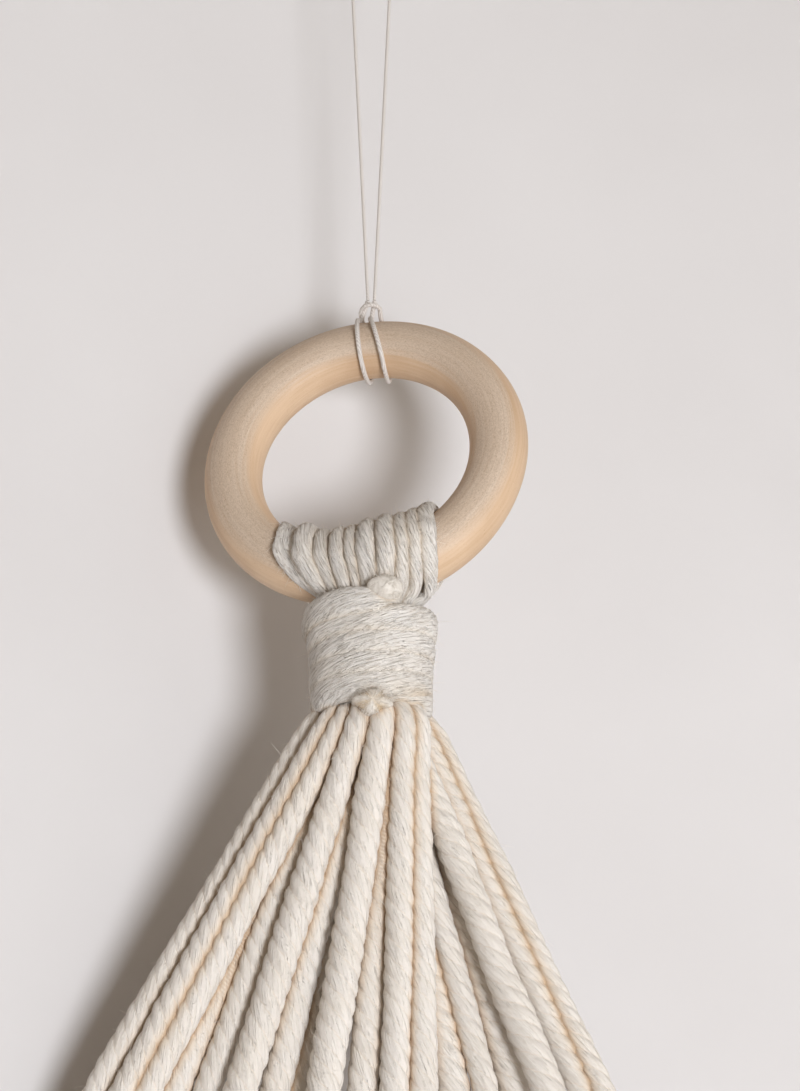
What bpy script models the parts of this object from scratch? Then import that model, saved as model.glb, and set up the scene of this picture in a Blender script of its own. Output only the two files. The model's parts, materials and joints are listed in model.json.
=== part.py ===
"""A macrame wall hanging: ten cotton cords folded over a wooden ring, gathered by a wrapped knot
and left to fan out as a fringe. A doubled thread, hitched to the ring, holds it up.

Metres, +Z up, the hanging's front towards -Y. The origin is the top of the thread's loop.
"""
import math
from collections import namedtuple

import bmesh
import bpy
from mathutils import Euler, Matrix, Vector

MM = 0.001
GAP = 0.3 * MM
WELD = 0.00001

# The ring hangs with its top leaning back to the wall and its right side turned forwards.
RING_OUTER = 70.0 * MM
RING_SECTION = 12.3 * MM
RING_CENTRE = Vector((-0.9, -6.3, -122.0)) * MM
RING_LEAN = math.radians(13.0)
RING_TURN = math.radians(-13.4)
RING_STEPS = 56
RING_SIDES = 16

SECTION_RADIUS = RING_SECTION / 2
RING_RADIUS = RING_OUTER / 2 - SECTION_RADIUS

# The cotton cord has three plies, twisted to the left. In the solids its turn is twice as long.
CORD = 4.5 * MM
CORD_RIDGE = 0.54 * CORD
CORD_TURN = 5.4 * CORD
STEPS_A_TURN = 8
PLY_VALLEY = 0.78

# The gathering knot winds the same cord round the bundle, over a core of pressed strands.
KNOT_AXIS = Vector((0.6, -12.6, 0.0)) * MM
KNOT_TOP = -157.6 * MM
KNOT_BOTTOM = -180.5 * MM
KNOT_RADIUS = 13.3 * MM
KNOT_TURNS = 5
WRAP_THICK = 3.55 * MM
WRAP_STEPS = 24
WRAP_START = math.radians(9.0)
TAIL_SWING = math.radians(10.0)
TAIL_RISE = 1.1 * MM
TAIL_OUT = 1.7 * MM
CORE_RADIUS = 9.1 * MM
CORE_RISE = 0.8 * MM
CORE_SIDES = 28

# Where a folded cord's two legs pass over the knot's top edge and into the core.
LEG_RIDGE = 1.4 * MM
LEG_NARROW = 0.84
LEG_STEP = 2.1 * MM
LEG_TURNING = math.radians(-45.0)
NECK_RISE = 2.6 * MM
ENTRY_RISE = 0.6 * MM
ENTRY_RADIUS = 8.6 * MM
LEG_END_RADIUS = 6.6 * MM
LEG_END_DROP = 3.0 * MM
LEG_SWELL = 0.32
FOLD_SIDES = (80, 95, 115, 135, 155, 180, 205, 225, 245, 265, 280)
HOLE_SPAN = 30
FRONT_SPAN = 92
BACK_SHIFT = 4.0

# The fringe flares out of the knot and then hangs down to one trimmed level.
ROOT_RIDGE = 1.55 * MM
ROOT_LEVEL = -176.0 * MM
STRAND_TURNING = -2 * math.pi / STEPS_A_TURN
FLARE_LEVEL = -258.0 * MM
FRINGE_END = -330.0 * MM
FLARE_EASE = 24.0 * MM
SWELL_LENGTH = 62.0 * MM
OUTER_ROOTS = 7.3 * MM
INNER_ROOTS = 3.65 * MM

# The thread, and the lark's head with which it grips the top of the ring.
THREAD = 0.7 * MM
HITCH_THREAD = 1.0 * MM
HITCH_TOP = Vector((0.2, 0.0, -82.4)) * MM
HITCH_APART = 1.5 * MM
HITCH_STEP = 1.3 * MM
LOOP_HALF_WIDTH = 4.2 * MM
LEG_APART = 1.4 * MM
ARCH_DROP = 6.0 * MM
ARCH_STEPS = 12

WOOD_COLOUR = (0.66, 0.49, 0.33, 1.0)
COTTON_COLOUR = (0.78, 0.72, 0.63, 1.0)
WRAP_COLOUR = (0.80, 0.75, 0.67, 1.0)
THREAD_COLOUR = (0.80, 0.76, 0.70, 1.0)

# One row for each folded cord, from left to right. Angles along the ring are in degrees from its
# lowest point: in its hole, and at its front. The neck's angle is round the knot from the front,
# and its radius is in millimetres.
Fold = namedtuple("Fold", "hole front neck neck_radius")
FOLDS = (
    Fold(-45.0, -29.5, -84.0, 11.6),
    Fold(-33.5, -20.0, -64.0, 10.6),
    Fold(-22.5, -12.0, -46.0, 10.0),
    Fold(-12.0, -4.5, -27.5, 9.6),
    Fold(-2.0, 2.2, -9.0, 9.4),
    Fold(8.5, 9.0, 9.0, 9.4),
    Fold(19.5, 16.3, 27.5, 9.6),
    Fold(29.5, 23.3, 46.0, 10.0),
    Fold(39.3, 30.3, 64.0, 10.6),
    Fold(49.2, 37.8, 84.0, 11.6),
)

# One row for each strand of the fringe, from left to right. Its root is in the core, at an angle
# from the front in degrees. Its low point, at the flare level, is in millimetres from the knot's
# axis, to the right and to the back.
Strand = namedtuple("Strand", "root_radius root_angle low_x low_y")
STRANDS = (
    Strand(OUTER_ROOTS, -111, -54.3, 3.5),
    Strand(OUTER_ROOTS, -83, -47.3, -3.5),
    Strand(INNER_ROOTS, -90, -44.0, 3.0),
    Strand(OUTER_ROOTS, -55, -38.9, -4.5),
    Strand(OUTER_ROOTS, -138, -32.2, 5.0),
    Strand(OUTER_ROOTS, -28, -25.3, -5.5),
    Strand(INNER_ROOTS, -30, -19.1, -1.5),
    Strand(INNER_ROOTS, -150, -15.7, 4.0),
    Strand(OUTER_ROOTS, 0, -11.5, -3.5),
    Strand(0.0, 0, -6.7, 3.5),
    Strand(INNER_ROOTS, 30, -1.8, -2.5),
    Strand(OUTER_ROOTS, 28, 5.5, -6.0),
    Strand(OUTER_ROOTS, 55, 9.6, -1.5),
    Strand(OUTER_ROOTS, -166, 16.9, 4.0),
    Strand(INNER_ROOTS, 150, 22.4, 1.0),
    Strand(OUTER_ROOTS, 166, 26.2, 6.0),
    Strand(INNER_ROOTS, 90, 32.9, -4.5),
    Strand(OUTER_ROOTS, 138, 36.4, 4.5),
    Strand(OUTER_ROOTS, 83, 40.9, -2.5),
    Strand(OUTER_ROOTS, 111, 44.9, 4.0),
)

# The hitch's route, both of whose ends stop at its top. On the ring a row gives the angle along
# the ring from its highest point, to the right, and the angle round its section from the top.
OnRing = namedtuple("OnRing", "along around")
HITCH_LEFT = (
    OnRing(-4.4, 14.0),
    OnRing(-4.2, 45.0),
    OnRing(-3.6, 85.0),
    OnRing(-3.2, 125.0),
    OnRing(-3.0, 165.0),
    OnRing(-3.2, 205.0),
    OnRing(-3.4, 245.0),
    OnRing(-3.4, 280.0),
    OnRing(-3.2, 312.0),
)
HITCH_BIGHT = (
    (-1.9, 1.6, -85.6),
    (-1.75, -0.1, -84.3),
    (-0.9, -1.35, -83.9),
    (0.2, -1.6, -83.8),
    (1.3, -1.35, -83.9),
    (2.15, -0.1, -84.3),
    (2.3, 1.6, -85.6),
)
HITCH_RIGHT = (
    OnRing(3.0, 312.0),
    OnRing(3.8, 280.0),
    OnRing(5.6, 245.0),
    OnRing(7.8, 205.0),
    OnRing(9.0, 165.0),
    OnRing(7.4, 125.0),
    OnRing(3.8, 85.0),
    OnRing(0.6, 45.0),
    OnRing(-0.6, 14.0),
)


def clear_scene():
    for existing in list(bpy.data.objects):
        bpy.data.objects.remove(existing, do_unlink=True)


def make_collection(name):
    collection = bpy.data.collections.new(name)
    bpy.context.scene.collection.children.link(collection)
    return collection


def make_material(name, colour, roughness):
    material = bpy.data.materials.new(name)
    material.use_nodes = True
    shader = material.node_tree.nodes["Principled BSDF"]
    shader.inputs["Base Color"].default_value = colour
    shader.inputs["Roughness"].default_value = roughness
    shader.inputs["Metallic"].default_value = 0.0
    return material


def ring_frame():
    """The ring's own axes: X along its width, Y up in its plane, Z out of its front."""
    turn = Euler((math.pi / 2 - RING_LEAN, 0.0, RING_TURN))
    return Matrix.Translation(RING_CENTRE) @ turn.to_matrix().to_4x4()


def on_ring(along, around, stand):
    """A point at `stand` off the ring's wood. `along` runs from the lowest point to the right,
    and `around` from the section's outer side through its front."""
    reach = SECTION_RADIUS + stand
    distance = RING_RADIUS + reach * math.cos(around)
    local = Vector((
        distance * math.sin(along),
        -distance * math.cos(along),
        reach * math.sin(around),
    ))
    return ring_frame() @ local


def round_knot(angle, radius, height):
    """A point round the knot's axis, at an angle from its front."""
    return KNOT_AXIS + Vector((radius * math.sin(angle), -radius * math.cos(angle), height))


def spline_point(before, start, end, after, part):
    """A point of the smooth curve from start to end that heads for its neighbours."""
    pull = 2 * start + part * (end - before)
    bend = 2 * before - 5 * start + 4 * end - after
    swing = 3 * start - before - 3 * end + after
    return 0.5 * (pull + part ** 2 * bend + part ** 3 * swing)


def smooth_route(points, step):
    """Evenly spaced points on the smooth curve through the given ones."""
    ends = [2 * points[0] - points[1]] + points + [2 * points[-1] - points[-2]]
    fine = []
    pieces = 16
    for index in range(len(points) - 1):
        for piece in range(pieces):
            fine.append(spline_point(*ends[index:index + 4], piece / pieces))
    fine.append(points[-1])
    travelled = [0.0]
    for start, end in zip(fine, fine[1:]):
        travelled.append(travelled[-1] + (end - start).length)
    count = max(2, round(travelled[-1] / step))
    route = []
    at = 0
    for index in range(count + 1):
        wanted = travelled[-1] * index / count
        while at < len(fine) - 2 and travelled[at + 1] < wanted:
            at += 1
        share = (wanted - travelled[at]) / (travelled[at + 1] - travelled[at])
        route.append(fine[at].lerp(fine[at + 1], share))
    return route


def make_section(name, radii, guides):
    """A closed outline, one point for each radius, for a cord to be swept from."""
    curve = bpy.data.curves.new(name, "CURVE")
    curve.dimensions = "2D"
    curve.fill_mode = "NONE"
    outline = curve.splines.new("POLY")
    outline.points.add(len(radii) - 1)
    for index, radius in enumerate(radii):
        angle = 2 * math.pi * index / len(radii)
        outline.points[index].co = (radius * math.cos(angle), radius * math.sin(angle), 0.0, 1.0)
    outline.use_cyclic_u = True
    section = bpy.data.objects.new(name, curve)
    section.hide_render = True
    section.display_type = "WIRE"
    guides.objects.link(section)
    return section


def add_spline(curve, route, thickness, turning):
    """Adds a route. thickness(share) scales the section, and each step turns it a little."""
    spline = curve.splines.new("POLY")
    spline.points.add(len(route) - 1)
    for index, place in enumerate(route):
        point = spline.points[index]
        point.co = (*place, 1.0)
        point.radius = thickness(index / (len(route) - 1))
        point.tilt = turning * index


def curve_to_mesh(curve_object, collection):
    """Turns a swept curve into a mesh whose end caps are welded to its sides."""
    bpy.context.view_layer.update()
    evaluated = curve_object.evaluated_get(bpy.context.evaluated_depsgraph_get())
    mesh = bpy.data.meshes.new_from_object(evaluated)
    shape = bmesh.new()
    shape.from_mesh(mesh)
    bmesh.ops.remove_doubles(shape, verts=shape.verts, dist=WELD)
    bmesh.ops.recalc_face_normals(shape, faces=shape.faces)
    bmesh.ops.triangulate(shape, faces=shape.faces, quad_method="SHORT_EDGE")
    shape.to_mesh(mesh)
    shape.free()
    name = curve_object.name
    made = bpy.data.objects.new(name + "_mesh", mesh)
    made.matrix_world = curve_object.matrix_world
    collection.objects.link(made)
    bpy.data.objects.remove(curve_object, do_unlink=True)
    made.name = name
    return made


def new_curve(name, collection):
    curve = bpy.data.curves.new(name, "CURVE")
    curve.dimensions = "3D"
    curve.twist_mode = "MINIMUM"
    curve.use_fill_caps = True
    made = bpy.data.objects.new(name, curve)
    collection.objects.link(made)
    return made


def swept_cords(name, section, routes, thickness, turning, collection):
    """Sweeps a section along each route, and gives one mesh."""
    made = new_curve(name, collection)
    made.data.bevel_mode = "OBJECT"
    made.data.bevel_object = section
    for route in routes:
        add_spline(made.data, route, thickness, turning)
    return curve_to_mesh(made, collection)


def make_ring(material, hanging):
    bpy.ops.mesh.primitive_torus_add(
        major_segments=RING_STEPS,
        minor_segments=RING_SIDES,
        major_radius=RING_RADIUS,
        minor_radius=SECTION_RADIUS,
    )
    ring = bpy.context.object
    ring.name = "wooden_ring"
    ring.matrix_world = ring_frame()
    ring.data.materials.append(material)
    ring.data.shade_smooth()
    for collection in list(ring.users_collection):
        collection.objects.unlink(ring)
    hanging.objects.link(ring)
    return ring


def fold_along(fold, around):
    """The angle along the ring at which a folded cord crosses the given side of it."""
    leg = fold.front if around < 180 else fold.front - BACK_SHIFT
    share = (abs(around - 180) - HOLE_SPAN) / (FRONT_SPAN - HOLE_SPAN)
    return fold.hole + (leg - fold.hole) * min(1.0, max(0.0, share))


def off_the_wood(place, stand):
    """The same place, pushed out of the ring's section if it is nearer than `stand`."""
    local = ring_frame().inverted() @ place
    flat = Vector((local.x, local.y, 0.0))
    centre = flat.normalized() * RING_RADIUS
    outward = local - centre
    reach = max(outward.length, SECTION_RADIUS + stand)
    return ring_frame() @ (centre + outward.normalized() * reach)


def leg_end(angle, neck_radius):
    """The end of a leg, from inside the core to its neck over the knot."""
    return [
        round_knot(angle, LEG_END_RADIUS, KNOT_TOP - LEG_END_DROP),
        round_knot(angle, ENTRY_RADIUS, KNOT_TOP + ENTRY_RISE),
        round_knot(angle, neck_radius, KNOT_TOP + NECK_RISE),
    ]


def fold_route(fold):
    """One cord's loop: out of the core, up the ring's front, through its hole and back down."""
    neck = math.radians(fold.neck)
    route = leg_end(neck, fold.neck_radius * MM)
    for around in FOLD_SIDES:
        along = math.radians(fold_along(fold, around))
        route.append(on_ring(along, math.radians(around), GAP + LEG_RIDGE))
    route += reversed(leg_end(math.pi - neck, fold.neck_radius * MM))
    route = smooth_route(route, LEG_STEP)
    return [off_the_wood(place, GAP + LEG_RIDGE) for place in route]


def leg_thickness(share):
    """A leg is squeezed narrower where it goes into the knot."""
    inside = min(share, 1 - share)
    return LEG_NARROW + (1 - LEG_NARROW) * min(1.0, inside / LEG_SWELL)


def strand_route(strand):
    """One strand of the fringe, from the core down to its cut end."""
    root = round_knot(math.radians(strand.root_angle), strand.root_radius, ROOT_LEVEL)
    low = KNOT_AXIS + Vector((strand.low_x * MM, strand.low_y * MM, FLARE_LEVEL))
    count = round((ROOT_LEVEL - FRINGE_END) / CORD_TURN * STEPS_A_TURN)
    route = []
    for index in range(count + 1):
        height = ROOT_LEVEL + (FRINGE_END - ROOT_LEVEL) * index / count
        drop = ROOT_LEVEL - height
        flare = ROOT_LEVEL - FLARE_LEVEL
        if drop > flare:
            eased = FLARE_EASE * (1 - math.exp((flare - drop) / FLARE_EASE))
            drop = flare + eased
        place = root.lerp(low, drop / flare)
        place.z = height
        route.append(place)
    return route


def strand_thickness(share):
    """A strand swells from its squeezed root to the cord's full thickness."""
    drop = share * (ROOT_LEVEL - FRINGE_END)
    squeezed = ROOT_RIDGE / CORD_RIDGE
    return squeezed + (1 - squeezed) * min(1.0, drop / SWELL_LENGTH)


def make_core(hanging):
    """The pressed strands inside the knot, as one turned body."""
    profile = (
        (0.0, KNOT_TOP + CORE_RISE),
        (0.8 * CORE_RADIUS, KNOT_TOP + CORE_RISE),
        (CORE_RADIUS, KNOT_TOP - CORE_RISE),
        (CORE_RADIUS, KNOT_BOTTOM + 2 * CORE_RISE),
        (0.9 * CORE_RADIUS, KNOT_BOTTOM + CORE_RISE),
        (0.0, KNOT_BOTTOM + CORE_RISE),
    )
    shape = bmesh.new()
    points = [shape.verts.new((radius, 0.0, height)) for radius, height in profile]
    edges = [shape.edges.new(pair) for pair in zip(points, points[1:])]
    bmesh.ops.spin(
        shape,
        geom=points + edges,
        cent=(0.0, 0.0, 0.0),
        axis=(0.0, 0.0, 1.0),
        angle=2 * math.pi,
        steps=CORE_SIDES,
    )
    bmesh.ops.remove_doubles(shape, verts=shape.verts, dist=WELD)
    bmesh.ops.recalc_face_normals(shape, faces=shape.faces)
    mesh = bpy.data.meshes.new("folded_cords")
    shape.to_mesh(mesh)
    shape.free()
    core = bpy.data.objects.new("folded_cords", mesh)
    core.location = KNOT_AXIS
    hanging.objects.link(core)
    return core


def fuse(body, added):
    """Unites a body with another one, which stays behind as a hidden cutter."""
    union = body.modifiers.new("fuse", "BOOLEAN")
    union.operation = "UNION"
    union.solver = "EXACT"
    union.use_self = True
    union.object = added
    added.hide_render = True
    added.display_type = "WIRE"
    bpy.context.view_layer.objects.active = body
    bpy.ops.object.modifier_apply(modifier=union.name)


def make_folded_cords(material, hanging, guides):
    """The ten folded cords as one body, fused where the knot presses them together."""
    body = make_core(hanging)
    leg_section = make_section("leg_section", [LEG_RIDGE, PLY_VALLEY * LEG_RIDGE] * 3, guides)
    strand_section = make_section("strand_section", [CORD_RIDGE] * 3, guides)
    loops = swept_cords(
        "loops",
        leg_section,
        [fold_route(fold) for fold in FOLDS],
        leg_thickness,
        LEG_TURNING,
        guides,
    )
    fringe = swept_cords(
        "fringe",
        strand_section,
        [strand_route(strand) for strand in STRANDS],
        strand_thickness,
        STRAND_TURNING,
        guides,
    )
    fuse(body, loops)
    fuse(body, fringe)
    body.data.materials.clear()
    body.data.materials.append(material)
    return body


def make_wrapping_cord(material, hanging, guides):
    """The cord wound round the knot, with both its cut ends turned a little outwards."""
    rope_radius = WRAP_THICK / 2
    centre_radius = KNOT_RADIUS - rope_radius
    top = KNOT_TOP - rope_radius
    bottom = KNOT_BOTTOM + rope_radius
    section = make_section("wrap_section", [rope_radius, PLY_VALLEY * rope_radius] * 3, guides)
    count = KNOT_TURNS * WRAP_STEPS
    route = [
        round_knot(WRAP_START + 2 * TAIL_SWING, centre_radius + TAIL_OUT, top + 2 * TAIL_RISE),
        round_knot(WRAP_START + TAIL_SWING, centre_radius + 0.4 * TAIL_OUT, top + TAIL_RISE),
    ]
    for index in range(count + 1):
        share = index / count
        angle = WRAP_START - 2 * math.pi * KNOT_TURNS * share
        route.append(round_knot(angle, centre_radius, top + (bottom - top) * share))
    route += [
        round_knot(WRAP_START - TAIL_SWING, centre_radius + 0.4 * TAIL_OUT, bottom - TAIL_RISE),
        round_knot(WRAP_START - 2 * TAIL_SWING, centre_radius + TAIL_OUT, bottom - 2 * TAIL_RISE),
    ]
    wrap = swept_cords("wrapping_cord", section, [route], lambda share: 1.0, LEG_TURNING, hanging)
    wrap.data.materials.append(material)
    return wrap


def make_thread(name, route, diameter, material, hanging):
    thread = new_curve(name, hanging)
    thread.data.bevel_depth = diameter / 2
    thread.data.bevel_resolution = 2
    thread.data.render_resolution_u = 0
    thread.data.twist_mode = "MINIMUM"
    add_spline(thread.data, route, lambda share: 1.0, 0.0)
    thread.data.materials.append(material)
    return thread


def hanging_route():
    """Up the left leg, over the top of the loop and down the right leg."""
    foot = HITCH_TOP + Vector((0.0, 0.0, GAP))
    reach = Vector((LEG_APART / 2, 0.0, 0.0))
    left = [foot - reach, Vector((-LOOP_HALF_WIDTH, 0.0, -ARCH_DROP))]
    right = [Vector((LOOP_HALF_WIDTH, 0.0, -ARCH_DROP)), foot + reach]
    crown = []
    for index in range(1, ARCH_STEPS):
        angle = math.pi * index / ARCH_STEPS
        across = -LOOP_HALF_WIDTH * math.cos(angle)
        rise = ARCH_DROP - THREAD / 2
        crown.append(Vector((across, 0.0, rise * math.sin(angle) - ARCH_DROP)))
    return left + crown + right


def hitch_place(row):
    along = math.pi - math.radians(row.along)
    return on_ring(along, math.radians(row.around), GAP + HITCH_THREAD / 2)


def hitch_route():
    """A lark's head: down the front, up the back, across before the legs, and back again."""
    reach = Vector((HITCH_APART / 2, 0.0, 0.0))
    route = [HITCH_TOP - reach]
    route += [hitch_place(row) for row in HITCH_LEFT]
    route += [Vector(point) * MM for point in HITCH_BIGHT]
    route += [hitch_place(row) for row in HITCH_RIGHT]
    route.append(HITCH_TOP + reach)
    return smooth_route(route, HITCH_STEP)


def build():
    clear_scene()
    hanging = make_collection("macrame_wall_hanging")
    guides = make_collection("guides")
    wood = make_material("wood", WOOD_COLOUR, 0.6)
    cotton = make_material("cotton", COTTON_COLOUR, 0.9)
    wrap_cotton = make_material("wrap_cotton", WRAP_COLOUR, 0.9)
    thread = make_material("thread", THREAD_COLOUR, 0.7)
    hitch = make_material("hitch_thread", THREAD_COLOUR, 0.7)
    make_ring(wood, hanging)
    make_folded_cords(cotton, hanging, guides)
    make_wrapping_cord(wrap_cotton, hanging, guides)
    make_thread("hanging_thread", hanging_route(), THREAD, thread, hanging)
    make_thread("thread_hitch", hitch_route(), HITCH_THREAD, hitch, hanging)


build()
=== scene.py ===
"""The looks of the macrame wall hanging: plied cotton cords over a wooden ring, against a wall.

Sizes and places are in millimetres and degrees unless a comment says otherwise. Meshes are made
in metres, as the frame is.
"""
import json
import math
from collections import namedtuple

import bpy
import numpy as np
from mathutils import Euler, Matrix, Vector
from mathutils.kdtree import KDTree

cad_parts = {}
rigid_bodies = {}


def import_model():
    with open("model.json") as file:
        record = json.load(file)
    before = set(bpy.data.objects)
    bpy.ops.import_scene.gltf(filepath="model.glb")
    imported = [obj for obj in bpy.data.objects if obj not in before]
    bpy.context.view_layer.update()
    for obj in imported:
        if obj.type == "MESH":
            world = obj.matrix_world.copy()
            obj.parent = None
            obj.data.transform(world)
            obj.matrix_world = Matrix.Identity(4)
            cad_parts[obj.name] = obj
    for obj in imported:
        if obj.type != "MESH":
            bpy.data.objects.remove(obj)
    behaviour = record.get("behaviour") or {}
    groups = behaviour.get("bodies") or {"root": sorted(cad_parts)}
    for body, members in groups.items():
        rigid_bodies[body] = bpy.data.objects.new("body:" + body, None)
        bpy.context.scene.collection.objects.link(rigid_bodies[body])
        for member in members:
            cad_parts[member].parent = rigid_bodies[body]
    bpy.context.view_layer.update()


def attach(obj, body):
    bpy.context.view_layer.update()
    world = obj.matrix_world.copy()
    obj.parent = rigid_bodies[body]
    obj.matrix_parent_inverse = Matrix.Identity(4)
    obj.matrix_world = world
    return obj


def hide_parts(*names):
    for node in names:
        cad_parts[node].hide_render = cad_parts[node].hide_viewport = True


MM = 0.001
FULL_TURN = 2 * math.pi

# What is laid by chance is drawn from fixed seeds, so that every run makes the same hanging.
CORD_SEED = 11
WRAP_SEED = 16
KNOT_FUZZ_SEED = 32
FRINGE_FUZZ_SEED = 33
STUB_SEED = 41

# The camera looks up at the hanging. The photograph's frame is 800 x 1091.
FRAME_HEIGHT = 1091
FOCAL_PIXELS = 3500
SENSOR_HEIGHT = 24.0
CAMERA_PLACE = (6.46, -695.56, -391.88)
CAMERA_RISE = 20.0

# The ring, as the frame has it: it leans back at the top and its right side is turned forwards.
RING_CENTRE = np.array([-0.9, -6.3, -122.0])
RING_RADIUS = 28.85
SECTION_RADIUS = 6.15
RING_LEAN = 13.0
RING_TURN = -13.4
RING_STEPS = 168
RING_SIDES = 56

# The turned wood isn't quite round: how high its waves are, how many there are along the ring and
# round its section, and where they start, in radians.
Wave = namedtuple("Wave", "height along around start")
RING_WAVES = (
    Wave(0.05, 3, 0, 1.0),
    Wave(0.04, 5, 2, 0.0),
    Wave(0.03, 4, 2, 0.0),
)

# The cotton cord: plies laid to the left, whose yarns turn more slowly than they do. A ply's
# middle is PLY_OFFSET of the cord's radius away from the cord's. A cut end is rounded a little.
PLIES = 4
PLY_OFFSET = 0.40
CORD_TURN = 15.0
YARNS = 14
CUT_ROUNDING = 0.5
CUT_LEAST = 0.1

# How a cord's section shows: how deep its plies part, which also sets the painted shade in the
# creases between them, how much they swell, how it is pressed (1 is round, and less is squarer),
# and how high its yarns stand and how soon they turn round.
Look = namedtuple("Look", "lobes swell square relief yarn_turn")
STRAND_LOOK = Look(0.62, 0.05, 1.0, 0.02, 44.0)
LOOP_LOOK = Look(0.25, 0.04, 0.9, 0.045, 44.0)
WRAP_LOOK = Look(0.05, 0.015, 0.62, 0.05, 42.0)

# How far a thing wanders from its course, and over what length of cord. Paces and sizes wander by
# a share of themselves, yarns by radians, and the rest by millimetres.
Drift = namedtuple("Drift", "reach span")
PACE_DRIFT = Drift(0.07, 14.0)
YARN_DRIFT = Drift(0.9, 5.0)
FADE_DRIFT = Drift(2.5, 7.0)
STRAND_DRIFTS = (Drift(0.3, 22.0), Drift(0.35, 22.0))
SIZE_DRIFT = Drift(0.035, 12.0)
WRAP_LEVEL_DRIFT = Drift(0.3, 11.0)
WRAP_REACH_DRIFT = Drift(0.25, 9.0)
WRAP_WIDE_DRIFT = Drift(0.04, 18.0)
SWELL_SPAN = 6.0

# The yarns fade into one another in a few bands round the cord. LAY_SHIFT moves each cord's
# grain along by up to so much. The yarn crease value is what a groove between yarns adds to the
# painted shade in the creases.
FADE = 0.35
FADE_BANDS = 3
LAY_SHIFT = 400.0
YARN_CREASE_SHADE = 0.25

# Painted shade where cords meet: how near another cord darkens a cord's surface, how far off one
# is looked for, and how much of the cord itself is passed over. CLEAR marks a surface that
# nothing is near.
CONTACT_GAP = 2.2
CONTACT_REACH = 8.5
OWN_LENGTH = 25.0
CLEAR = -1.0

# Loose fibres that stand off the cords: how many to a millimetre of cord, their thickness and
# lengths, how far they lean along the cord, stand up from it, curl and go into it, and how they
# thin. HAIR_TAPER has a share of a fibre's length and the share of its thickness there.
STRAND_HAIRS = 1.4
KNOT_HAIRS = 6.0
HAIR = 0.075
HAIR_LENGTHS = (0.35, 2.3)
HAIR_LEAN = 1.3
HAIR_LIFTS = (0.25, 1.0)
HAIR_CURL = 0.45
HAIR_DEPTH = 0.1
HAIR_SIDES = 3
HAIR_TAPER = ((0.0, 1.0), (0.35, 0.9), (0.7, 0.7), (1.0, 0.35))

# The knot round the cords. Angles round it are from the front.
KNOT_AXIS = np.array([0.6, -12.6, 0.0])
KNOT_TOP = -157.6

# A smooth route is worked out with FINE_ROWS rows between two given ones. A folded cord's is
# then eased EASING times.
FINE_ROWS = 24
EASING = 6

# One row for each folded cord, from left to right. Angles along the ring are from its lowest
# point: in the hole, and at the front. The neck's angle and radius are round the knot.
Fold = namedtuple("Fold", "hole front neck neck_radius wide thick phase")
FOLDS = (
    Fold(-42.0, -27.8, -80.0, 11.6, 5.0, 1.3, 10),
    Fold(-31.2, -18.7, -64.0, 11.2, 4.6, 3.5, 130),
    Fold(-20.4, -10.8, -48.0, 10.4, 3.8, 3.3, 250),
    Fold(-9.6, -3.6, -33.0, 10.0, 4.0, 4.1, 60),
    Fold(-0.6, 2.0, -17.0, 9.4, 3.6, 4.5, 330),
    Fold(9.4, 7.9, -3.0, 9.8, 4.7, 5.2, 190),
    Fold(20.8, 16.4, 14.0, 10.0, 4.8, 5.1, 90),
    Fold(30.2, 22.5, 35.0, 10.4, 4.0, 4.2, 300),
    Fold(38.0, 27.6, 54.0, 10.8, 3.9, 3.6, 40),
    Fold(45.0, 33.0, 76.0, 11.6, 4.5, 3.0, 160),
)

# Where a folded cord passes round the ring's section, from its front leg to its back leg. It
# reaches its angle at the front FOLD_SPAN away from the hole, and at the back it is BACK_SHIFT to
# the left of that. FOLD_GAP is how far off the wood it is laid, and WOOD_GAP how far it is kept.
FOLD_SIDES = (84, 98, 115, 135, 155, 180, 205, 225, 245, 262, 276)
HOLE_SIDE = 180
FOLD_SPAN = 96
BACK_SHIFT = 4.0
FOLD_GAP = 0.25
WOOD_GAP = 0.15

# A folded cord's leg at the knot's top edge: its reach from the knot's axis, its rise over the
# edge, and how much of its width and thickness is left. Above that the leg bends at its neck. The
# back leg's angle is BACK_TURN of the front one's, from the back, and it is laid closer in.
Leg = namedtuple("Leg", "reach rise share")
LEG_ROOT = (
    Leg(6.6, -3.5, 0.74),
    Leg(8.4, 0.4, 0.74),
)
NECK_RISE = 3.2
NECK_SHARE = 0.84
BACK_TURN = 0.85
BACK_SPREAD = 0.88
LOOP_STEP = 0.5
LOOP_SIDES = 48

# One row for each strand of the fringe, from left to right: how far it is to the right of the
# knot's axis and behind it, just under the knot and again lower down, and its diameter there.
Strand = namedtuple("Strand", "top_x top_y low_x low_y size")
STRANDS = (
    Strand(-12.9, -1.1, -54.3, 1.1, 5.4),
    Strand(-11.8, 3.6, -51.5, 4.2, 5.0),
    Strand(-9.2, -5.2, -48.3, -1.9, 5.9),
    Strand(-6.0, -6.8, -43.8, -1.3, 5.9),
    Strand(-7.9, -1.0, -39.0, 2.2, 6.2),
    Strand(-6.6, -3.6, -32.4, 1.0, 5.8),
    Strand(-2.4, -8.9, -25.5, -2.8, 6.7),
    Strand(-0.8, -5.4, -19.0, 0.6, 6.4),
    Strand(-2.6, 3.0, -14.4, 3.8, 6.0),
    Strand(2.3, -9.9, -9.1, -3.9, 7.2),
    Strand(5.0, -6.4, -1.7, -0.4, 6.4),
    Strand(4.4, 3.0, 3.3, 3.6, 6.0),
    Strand(6.7, -9.0, 5.0, -3.9, 5.9),
    Strand(9.4, -7.3, 10.2, -2.3, 5.9),
    Strand(2.0, 5.0, 16.7, 1.2, 6.8),
    Strand(4.5, 1.0, 22.7, 0.5, 5.4),
    Strand(7.4, 5.0, 29.0, 3.6, 6.6),
    Strand(7.0, -3.0, 34.8, -3.5, 6.9),
    Strand(10.6, 1.0, 42.5, 2.0, 6.0),
    Strand(13.2, 2.0, 46.1, 1.0, 4.9),
)
STRANDS_A_PIECE = 5

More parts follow.
